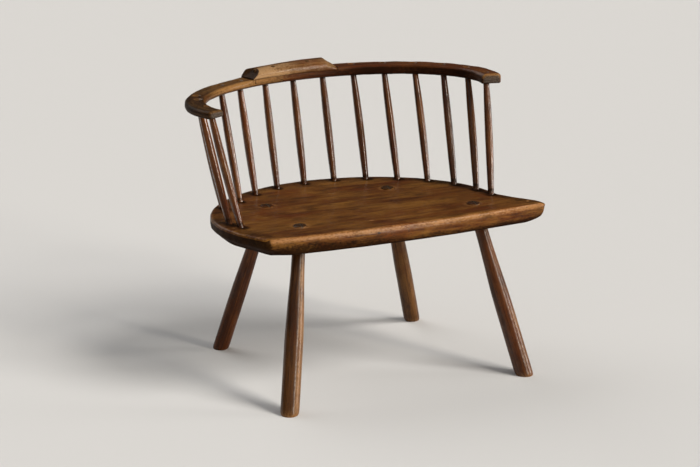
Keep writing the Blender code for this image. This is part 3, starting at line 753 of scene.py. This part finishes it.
stick_heights = np.concatenate([[0, 0.03, 0.07], np.linspace(0.09, 0.92, 40), [0.94, 0.955, 0.97, 0.988]])
stick_dirt = np.exp(-((stick_heights - STICK_AT_SEAT) / 0.018) ** 2) * 0.8
stick_dirt += ease(stick_heights, *STICK_AT_ARM) * 0.7
stick_rub = 0.34 * np.exp(-((stick_heights - 0.55) / 0.25) ** 2)
for number, stick in enumerate(STICKS):
    rings, grain = shaved_rings(stick, stick_heights, STICK_AROUND, 8 + number % 3, 0.4 + 1.3 * number,
                                STICK_WANDER, STICK_SHAVE)
    rings, grain, end = capped(rings, grain, 0.9, 0.92)
    end[:CAP_RINGS[0]] = 0
    piece = skin("shaved_" + stick, rings, {
        "grain": grain,
        "end": end * 0.8,
        "grime_and_shade": over_rings(stick_dirt, STICK_AROUND),
        "wear_and_highlight": over_rings(stick_rub, STICK_AROUND),
    })
    pale = tuple(STICK_TINTS[number] * channel for channel in STICK_PALE)
    warm = tuple(STICK_TINTS[number] * channel for channel in STICK_WARM)
    piece.data.materials.append(aged_wood(stick + "_wood", pale, warm, **STICK_WOOD))
    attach(piece, "root")
    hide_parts(stick)

# Arm, left and right pieces
# Two pieces sawn from bent stock and rounded over by knife and use, bored through for the sticks.
# The left piece is thinner and half-lapped under the right one, which is cut down to it to bed the riser.

ARM_UNDERSIDE = 0.587
ARM_BOW = (0.3424, 0.2084)
ARM_MIDDLE = np.array((-0.0002, 0.0472))
ARM_REACH = 0.0225
ARM_THICKNESS = {"arm_left": 0.0165, "arm_right": 0.0225}
ARM_SPAN = {"arm_left": (-107.0, -7.7), "arm_right": (-30.7, 98.0)}
ARM_UNEVEN = 0.0012
ARM_TOP_ROUND = 0.0076
ARM_BED_ROUND = 0.0014
ARM_OUTER_UNDER_ROUND = 0.0045
ARM_INNER_UNDER_ROUND = 0.0084
HAND_SPAN = (62.0, 94.0)
HAND_INSIDE = 0.0185
HAND_OUTSIDE = 0.0275
HAND_ROUND = 0.0065
HAND_TURNS = np.radians((82, 65, 48, 32, 16, 0))
HAND_GRAIN = 3.0
LAP = (-25.7, -12.7)
LAP_MIDDLE_HEIGHT = ARM_UNDERSIDE + ARM_THICKNESS["arm_left"] / 2
LAP_BIT_REACH = 0.05
RISER = (-27.4, 11.5)
RISER_SEAM = 5
PEGS = ("riser_peg_1", "riser_peg_2", "riser_peg_3")
RIM_DEPTH = {"arm_left": 0.0026, "arm_right": 0.0012}
HEWN_ARM = ((0.0005, 0.030, 2.2), (0.0003, 0.012, 5.1))
ARM_AROUND = 56
GREY_END = ((0.034, 0.026, 0.0195), (0.108, 0.085, 0.067))
ARM_WOODS = {
    "arm_left": {
        "pale": (0.160, 0.076, 0.0215),
        "warm": (0.076, 0.0310, 0.0088),
        "dark": (0.021, 0.0090, 0.0036),
        "worn_and_highlit": (0.290, 0.145, 0.046),
    },
    "arm_right": {
        "pale": (0.138, 0.044, 0.0094),
        "warm": (0.064, 0.0162, 0.0036),
        "dark": (0.023, 0.0060, 0.0020),
        "worn_and_highlit": (0.280, 0.140, 0.046),
    },
}
ARM_DULLNESS = 0.22
HAND_DIRT = {"arm_left": 0.62, "arm_right": 0.25}


def bow_at(degrees):
    """Middle of the arm in plan, and the way outwards, at an angle from straight back."""
    turn = radians(degrees)
    middle = ARM_MIDDLE + np.array((ARM_BOW[0] * sin(turn), ARM_BOW[1] * cos(turn)))
    away = np.array((ARM_BOW[1] * sin(turn), ARM_BOW[0] * cos(turn)))
    return middle, away / np.linalg.norm(away)


def rounded_section(inside, outside, low, high, inner_top, outer_top, inner_under, outer_under):
    """Points round a section across the bow, with its four corners rounded."""
    corners = (
        (outside, high, outer_top, 90),
        (outside, low, outer_under, 0),
        (-inside, low, inner_under, -90),
        (-inside, high, inner_top, 180),
    )
    points = []
    for across, up, radius, first in corners:
        angle = np.radians(first - np.linspace(0, 90, 10))
        middle = (across - np.sign(across) * radius, up - (1 if up == high else -1) * radius)
        points.append(middle + radius * np.column_stack([np.cos(angle), np.sin(angle)]))
    return even_outline(np.vstack(points), ARM_AROUND)


def bow_points(degrees, section):
    """Where a section's points lie in the chair."""
    middle, away = bow_at(degrees)
    return np.column_stack([middle + np.outer(section[:, 0], away), section[:, 1]])


def arm_section(degrees, name):
    """The section of the arm at an angle: broader at the hand, and crisp where the riser is bedded."""
    hand = float(ease(abs(degrees), *HAND_SPAN))
    bedded = degrees <= RISER[1]
    thickness = ARM_THICKNESS["arm_left" if bedded else name]
    seam = float(ease(degrees, RISER[0] - RISER_SEAM, RISER[0])) if bedded else 0.0
    spot = Vector((degrees / 9.0, 3.3 if name == "arm_left" else 8.8, 0.5))
    uneven = noise.noise(spot)
    uneven_outside = noise.noise(spot + Vector((9, 0, 0)))
    inside = ARM_REACH + (HAND_INSIDE - ARM_REACH) * hand + ARM_UNEVEN * uneven
    outside = ARM_REACH + (HAND_OUTSIDE - ARM_REACH) * hand + ARM_UNEVEN * uneven_outside
    high = ARM_UNDERSIDE + thickness + 0.0006 * uneven * (1 - seam)
    top_round = ARM_TOP_ROUND * (1 - seam) + ARM_BED_ROUND * seam
    return rounded_section(inside, outside, ARM_UNDERSIDE, high, top_round + 0.0035 * hand, top_round,
                           ARM_INNER_UNDER_ROUND - 0.0040 * hand, ARM_OUTER_UNDER_ROUND)


def lap_bit(name, low_along, high_along, low, high):
    """A box across the arm at the lap. Along runs to the right from the lap's middle."""
    middle, away = bow_at(sum(LAP) / 2)
    run = np.array((away[1], -away[0]))
    corners = [(low_along, -LAP_BIT_REACH), (high_along, -LAP_BIT_REACH),
               (high_along, LAP_BIT_REACH), (low_along, LAP_BIT_REACH)]
    rings = np.array([[(*(middle + run * a + away * b), z) for a, b in corners] for z in (low, high)])
    return skin(name, rings, {"grain": rings, "grime_and_shade": np.ones((2, 4))})


def arm_piece(name):
    """Rings of one piece of the arm from its hand, with their grain places, end grain and angles."""
    left, right = ARM_SPAN[name]
    angles = np.linspace(left, right, 130)
    if name == "arm_right":
        angles = np.concatenate([np.linspace(right, RISER[1] + 0.1, 90), np.linspace(RISER[1], left, 50)])
    sections = np.array([arm_section(degrees, name) for degrees in angles])
    run = run_along(np.array([bow_at(degrees)[0] for degrees in angles]))
    hand = sections[0]
    core = np.array((hand[:, 0].mean(), ARM_UNDERSIDE + 0.4 * ARM_THICKNESS[name]))
    rings = []
    grain = []
    ends = []

    def add_ring(degrees, section, along, end):
        rings.append(bow_points(degrees, section))
        grain.append(np.column_stack([np.full(ARM_AROUND, HAND_GRAIN + along), section]))
        ends.append(end)

    def rounded_over(turn, share=1.0):
        shrink = 1 - HAND_ROUND * (1 - np.cos(turn)) / np.abs(hand - core).max(0)
        return core + (hand - core) * shrink * share

    for share in (0.35, 0.80):
        add_ring(angles[0], rounded_over(HAND_TURNS[0], share), 0.0, 1.0)
    hand_run = HAND_ROUND * (1 - np.sin(HAND_TURNS))
    hand_angles = np.interp(hand_run, run, angles)
    for turn, degrees, along in zip(HAND_TURNS, hand_angles, hand_run):
        add_ring(degrees, rounded_over(turn), along, float(ease(turn, 0.9, 1.4)))
    first = int(np.searchsorted(run, HAND_ROUND * 1.2))
    for degrees, along, section in zip(angles[first:], run[first:], sections[first:]):
        add_ring(degrees, section, along, 0.0)
    rings = np.array(rings)
    all_angles = np.concatenate([[angles[0]] * 2, hand_angles, angles[first:]])
    bed = (all_angles > RISER[0] - 1) & (all_angles < RISER[1] + 0.05)
    marks = tool_marks(rings, HEWN_ARM)[..., None] * (0.8, 0.3, 1)
    rings += marks * np.where(bed, 0.0, 1.0)[:, None, None]
    return rings, np.array(grain), np.broadcast_to(np.array(ends)[:, None], rings.shape[:2]), all_angles


def cut_arm(piece, name):
    """Saw one half of the lap, then bore the holes for the sticks, with worn rims painted pale as glints, and
    for the pegs.
    """
    start, _ = bow_at(LAP[0])
    stop, _ = bow_at(LAP[1])
    half = np.linalg.norm(stop - start) / 2
    gap = GAP / 2
    high = ARM_UNDERSIDE + 0.05
    low = ARM_UNDERSIDE - 0.02
    if name == "arm_left":
        cheek = lap_bit("lap_cheek", -half - gap, 4 * half, LAP_MIDDLE_HEIGHT - gap, high)
        end = lap_bit("lap_end", half - gap, 4 * half, low, high)
    else:
        cheek = lap_bit("lap_cheek", -4 * half, half + gap, low, LAP_MIDDLE_HEIGHT + gap)
        end = lap_bit("lap_end", -4 * half, -half + gap, low, high)
    bore(piece, [cheek])
    bore(piece, [end])
    rim = ARM_UNDERSIDE + ARM_THICKNESS[name] - RIM_DEPTH[name]
    holes = [hole_bit(stick, low, high, rim) for stick in STICKS]
    holes += [hole_bit(peg, low, high + 0.02) for peg in PEGS]
    bore(piece, holes)


for name in ARM_SPAN:
    rings, grain, end, angles = arm_piece(name)
    angles = angles[:, None]
    across = grain[..., 1]
    up = grain[..., 2] - ARM_UNDERSIDE
    inner = 1 - ease(across, -0.024, -0.010)
    top = ease(up, ARM_THICKNESS[name] - 0.006, ARM_THICKNESS[name])
    near_lap = 1 - ease(np.where(angles < -26, -26 - angles, 2.2 * (angles + 26)), 6, 48)
    # The inner face is rubbed and painted pale as a highlight, most near the lap; the top near the lap is
    # rubbed.
    wear_and_highlight = inner * (0.25 + 0.75 * near_lap) * ease(up, 0.002, 0.008) + 0.35 * top * near_lap
    # The upper rim of the hand's end is painted pale, as wear and as a highlight.
    wear_and_highlight += 1.1 * np.exp(-((angles - angles[0]) / 1.5) ** 2) * ease(up, 0.009, 0.015)
    grime_and_shade = (1 - inner) * (1 - near_lap) * HAND_DIRT[name] + (1 - ease(up, 0, 0.005)) * 0.6
    # The inner face of the right piece, which faces away from the lamps, is painted dark as shade.
    grime_and_shade += inner * (1 - top) * ease(angles, -6, 22) * 0.8
    piece = skin("bowed_" + name, rings, {
        "grain": grain,
        "end": end,
        "wear_and_highlight": np.clip(wear_and_highlight, 0, 1),
        "grime_and_shade": np.clip(grime_and_shade, 0, 1),
    })
    cut_arm(piece, name)
    arm_wood = aged_wood(name + "_wood", **ARM_WOODS[name], dullness=ARM_DULLNESS, end_grain=GREY_END)
    piece.data.materials.append(arm_wood)
    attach(piece, "root")
    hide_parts(name)

# Riser
# A short thicker piece pegged on the back of the arm to raise it, golden where backs have rubbed its front,
# and paler at the left of that face as a painted highlight.
# Its left end is hewn off on the skew and painted dark as shade, and its right end has split off along the
# grain.

RISER_BASE = ARM_UNDERSIDE + ARM_THICKNESS["arm_left"] + GAP
RISER_CUT = -26.8
RISER_LIP = 0.003
RISER_PEAK = 7.0
RISER_END = RISER[1] - 0.1
RISER_LEFT_HEIGHT = 0.0180
RISER_PEAK_HEIGHT = 0.0225
RISER_FOOT = 0.0056
RISER_FACE = 0.030
RISER_GRAIN = 7
SPLINTER = 0.0020
BEVEL_SHOULDER = -19.0
BEVEL_SKEW = 4.5
BEVEL_SKEW_SPAN = (0.0085, 0.0215)
TORN_FIBRE = ((0.110, 0.056, 0.021), (0.300, 0.180, 0.085))
RISER_WOOD = {
    "pale": (0.225, 0.104, 0.031),
    "warm": (0.110, 0.041, 0.0115),
    "dark": (0.028, 0.0112, 0.0045),
    "worn_and_highlit": (0.380, 0.225, 0.105),
    "dullness": 0.20,
}


def riser_crest(degrees):
    """Height of the riser over its bed along its length, without the bevel of its left end."""
    climb = float(ease(degrees, RISER_CUT, RISER_PEAK))
    crest = RISER_LEFT_HEIGHT + (RISER_PEAK_HEIGHT - RISER_LEFT_HEIGHT) * climb
    broken = (degrees - RISER_PEAK) / (RISER_END - RISER_PEAK)
    if broken <= 0:
        return crest
    splinter = SPLINTER * noise.noise(Vector((degrees * 2.3, 1.7, 0))) * sin(pi * min(broken, 1))
    return RISER_FOOT + (crest - RISER_FOOT) * (1 - broken) ** 1.15 + splinter


def riser_bevel(degrees, across):
    """Height that the hewn left end leaves at an angle: a skew ramp, steeper towards the back."""
    shoulder = BEVEL_SHOULDER - BEVEL_SKEW * ease(across, *BEVEL_SKEW_SPAN)
    ramp = np.clip((degrees - RISER_CUT) / (shoulder - RISER_CUT), 0, 1)
    return RISER_LIP + (RISER_LEFT_HEIGHT + 0.004) * ramp


angles = np.concatenate([np.linspace(RISER_CUT, -18.0, 50), np.linspace(-17.6, RISER_PEAK, 54),
                         np.linspace(RISER_PEAK + 0.15, RISER_END, 34)])
slope = np.radians(np.linspace(0, 90, 14))
sections = []
bevelled = []
for degrees in angles:
    height = riser_crest(degrees)
    reach = ARM_REACH - 0.001 + 0.0006 * noise.noise(Vector((degrees / 6, 5.5, 0)))
    face = np.column_stack([RISER_FACE - reach - RISER_FACE * np.cos(slope),
                            height * (0.24 + 0.76 * np.sin(slope))])
    back = [(reach - 0.0040, height), (reach - 0.0012, 0.94 * height), (reach, 0.75 * height), (reach, 0)]
    section = even_outline(np.vstack([[(-reach, 0)], face, back])[::-1], ARM_AROUND)
    limit = riser_bevel(degrees, section[:, 0])
    bevelled.append(section[:, 1] > limit)
    section[:, 1] = np.minimum(section[:, 1], limit)
    sections.append(section + (0, RISER_BASE))
rings = np.array([bow_points(degrees, section) for degrees, section in zip(angles, sections)])
run = run_along(rings.mean(1)) + RISER_GRAIN
along = np.broadcast_to(run[:, None, None], (len(run), ARM_AROUND, 1))
grain = np.concatenate([along, sections], axis=-1)
over_bed = grain[..., 2] - RISER_BASE
above = ease(over_bed, 0.001, 0.004)
torn = ease(angles, RISER_PEAK - 0.5, RISER_PEAK + 0.5)[:, None] * ease(over_bed, 0.004, 0.007)
torn_marks = torn * 0.0007 * lumps(rings * (0.4, 3, 1), 0.008)
rings[..., 2] += above * (0.0004 * lumps(rings, 0.025, 1.3) + torn_marks)
front_face = 1 - ease(grain[..., 1], 0.004, 0.014)
# The skew-cut left end faces away from the lamps and is painted dark as shade.
shaded_cut_end = np.array(bevelled, float)
# The front face is rubbed pale, and painted paler towards its left as a highlight.
wear_and_highlight = front_face * (1.0 - 0.58 * ease(angles, -17, -3)[:, None]) * (1 - shaded_cut_end)
wear_and_highlight *= 0.85 + 0.5 * lumps(rings, 0.022, 6.4)
grime_and_shade = shaded_cut_end * 0.95 + (1 - front_face) * 0.35 * above + (1 - above) * 0.5
riser = skin("back_riser", rings, {
    "grain": grain,
    "wear_and_highlight": np.clip(wear_and_highlight, 0, 1),
    "grime_and_shade": np.clip(grime_and_shade * (1 - torn), 0, 1),
    "end": torn * 0.6,
})
bore(riser, [hole_bit(peg, RISER_BASE - 0.01, RISER_BASE + 0.05) for peg in PEGS])
riser.data.materials.append(aged_wood("riser_wood", **RISER_WOOD, end_grain=TORN_FIBRE))
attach(riser, "root")
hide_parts("arm_riser")

# Riser pegs
# Three whittled pegs driven down through riser and arm. Two of them also lock the lap.
# Their ends stand a little proud, rubbed and dark.

PEG_AROUND = 18
PEG_FLATS = 7
PEG_SHAVE = 0.02
PEG_ROUNDING = (0.97, 0.88)
PEG_END = ((0.062, 0.030, 0.011), (0.150, 0.080, 0.031))
PEG_WOOD = {
    "pale": (0.150, 0.076, 0.027),
    "warm": (0.078, 0.035, 0.012),
    "dark": (0.026, 0.011, 0.0045),
    "worn_and_highlit": (0.240, 0.130, 0.052),
    "dullness": 0.30,
}
peg_wood = aged_wood("peg_wood", **PEG_WOOD, end_grain=PEG_END)
peg_heights = np.concatenate([[0, 0.02], np.linspace(0.05, 0.95, 12), [0.975, 0.99, 1]])
for number, peg in enumerate(PEGS):
    rings, grain = shaved_rings(peg, peg_heights, PEG_AROUND, PEG_FLATS, 0.9 + 2.1 * number, 0.0, PEG_SHAVE)
    rings, grain, end = capped(rubbed_ends(rings, high=PEG_ROUNDING), grain, 0.9, 0.85)
    piece = skin("whittled_" + peg, rings, {
        "grain": grain,
        "end": end * 0.7,
        "grime_and_shade": (1 - end) * 0.5,
        "wear_and_highlight": end * 0.3,
    })
    piece.data.materials.append(peg_wood)
    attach(piece, "root")
    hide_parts(peg)

# Floor, light and camera
# A plain pale floor under soft studio light: a key lamp and a low window lamp on the right, a tall window
# of three strips that draws a streak on each stick, and weaker light from behind, the left and above.
# The camera stands where the photograph was taken from, a long lens looking down from the left front.

FLOOR_HALF = 20.0
FLOOR_COLOUR = (0.69, 0.685, 0.675, 1)
STRIP_STRENGTH = 0.55
STRIP_SOFTNESS = 10
STRIP_COLOUR = (1.0, 0.93, 0.83)

# The way to each lamp, its strength, its softness in degrees and its colour.
LAMPS = {
    "key_lamp": ((0.50, -0.50, 0.70), 1.9, 22, (1.0, 0.965, 0.92)),
    "window_lamp": ((0.91, -0.38, 0.14), 1.05, 15, (1.0, 0.965, 0.93)),
    "strip_low": ((0.43, -0.88, 0.17), STRIP_STRENGTH, STRIP_SOFTNESS, STRIP_COLOUR),
    "strip_middle": ((0.41, -0.83, 0.38), STRIP_STRENGTH, STRIP_SOFTNESS, STRIP_COLOUR),
    "strip_high": ((0.36, -0.74, 0.57), STRIP_STRENGTH, STRIP_SOFTNESS, STRIP_COLOUR),
    "back_lamp": ((-0.30, 0.75, 0.60), 1.0, 50, (1.0, 0.98, 0.96)),
    "fill_lamp": ((-0.50, -0.55, 0.80), 0.20, 90, (0.95, 0.97, 1.0)),
    "dome_lamp": ((0.0, 0.0, 1.0), 0.30, 120, (0.97, 0.98, 1.0)),
}
SKY_COLOUR = (0.96, 0.98, 1.0, 1)
SKY_LIGHT = 0.03
CAMERA_PLACE = (-2.2080, -4.5358, 1.7734)
CAMERA_DOWN = 16.394
CAMERA_TURN = -25.797
FOCAL_PIXELS = 2400
PICTURE_PIXELS = 700
SENSOR_WIDTH = 36

floor_corners = [(x * FLOOR_HALF, y * FLOOR_HALF, 0) for x, y in ((-1, -1), (1, -1), (1, 1), (-1, 1))]
floor_mesh = bpy.data.meshes.new("floor")
floor_mesh.from_pydata(floor_corners, [], [(0, 1, 2, 3)])
floor = bpy.data.objects.new("floor", floor_mesh)
bpy.context.scene.collection.objects.link(floor)
floor_material = bpy.data.materials.new("pale_floor")
floor_material.use_nodes = True
floor_shader = floor_material.node_tree.nodes["Principled BSDF"]
floor_shader.inputs["Base Color"].default_value = FLOOR_COLOUR
floor_shader.inputs["Roughness"].default_value = 0.9
floor_shader.inputs["Specular IOR Level"].default_value = 0.0
floor_mesh.materials.append(floor_material)

scene = bpy.context.scene
world = bpy.data.worlds.new("sky")
world.use_nodes = True
sky = world.node_tree.nodes["Background"]
sky.inputs["Color"].default_value = SKY_COLOUR
sky.inputs["Strength"].default_value = SKY_LIGHT
scene.world = world
for name, (way, strength, softness, colour) in LAMPS.items():
    light = bpy.data.lights.new(name, "SUN")
    light.energy = strength
    light.angle = radians(softness)
    light.color = colour
    holder = bpy.data.objects.new(name, light)
    holder.rotation_euler = Vector(way).to_track_quat("Z", "Y").to_euler()
    scene.collection.objects.link(holder)

camera = bpy.data.cameras.new("camera")
camera.lens = FOCAL_PIXELS / PICTURE_PIXELS * SENSOR_WIDTH
camera.sensor_width = SENSOR_WIDTH
camera_holder = bpy.data.objects.new("camera", camera)
camera_holder.location = CAMERA_PLACE
camera_holder.rotation_euler = (radians(90 - CAMERA_DOWN), 0, radians(CAMERA_TURN))
scene.collection.objects.link(camera_holder)
scene.camera = camera_holder
scene.view_settings.view_transform = "Standard"
